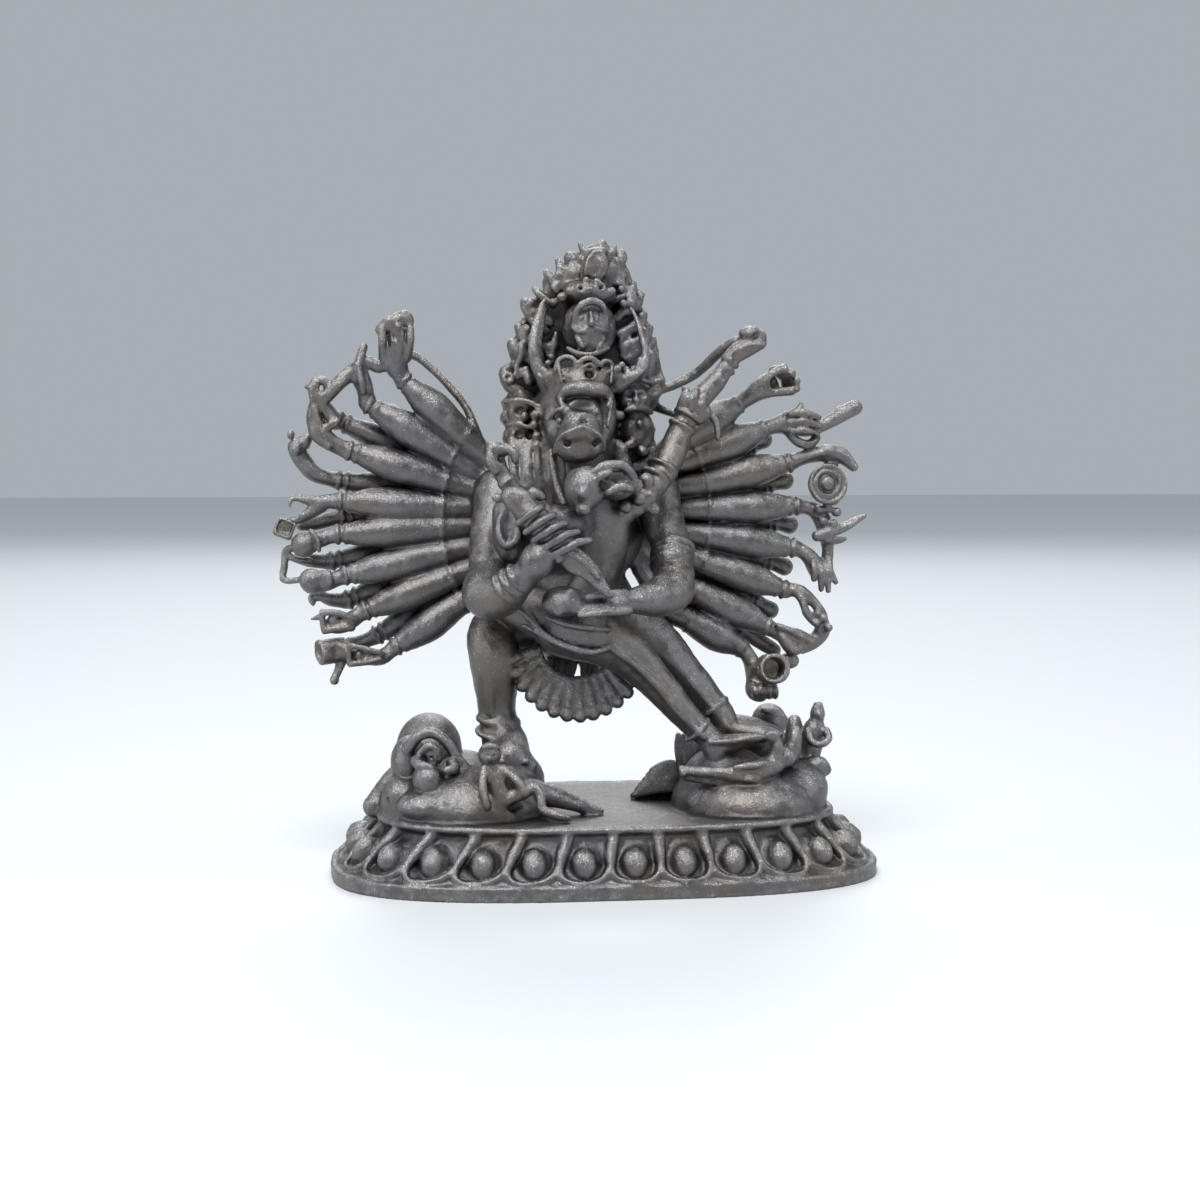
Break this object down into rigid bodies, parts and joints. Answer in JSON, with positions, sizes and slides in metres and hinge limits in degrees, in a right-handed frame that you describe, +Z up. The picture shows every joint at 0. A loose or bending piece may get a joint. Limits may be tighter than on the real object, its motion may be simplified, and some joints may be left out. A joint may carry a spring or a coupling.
{
  "type": "yamantaka statue",
  "caption": "small dark cast metal statue of a buffalo-headed, many-armed deity embracing a consort, arms in two fans, on a lotus base",
  "frame": {"origin": "middle of the flat underside of the lotus base", "axes": "+Z up, the front of the statue looks toward -Y, +X is toward the outstretched leg"},
  "size_m": [0.0471, 0.0264, 0.0499],
  "materials": {
    "cast_metal": "antique silver: dark grey patina, near black in the hollows, bright grainy metal on the worn ridges"
  },
  "bodies": {
    "root": {"yamantaka_statue": "cast_metal"}
  },
  "joints": []
}
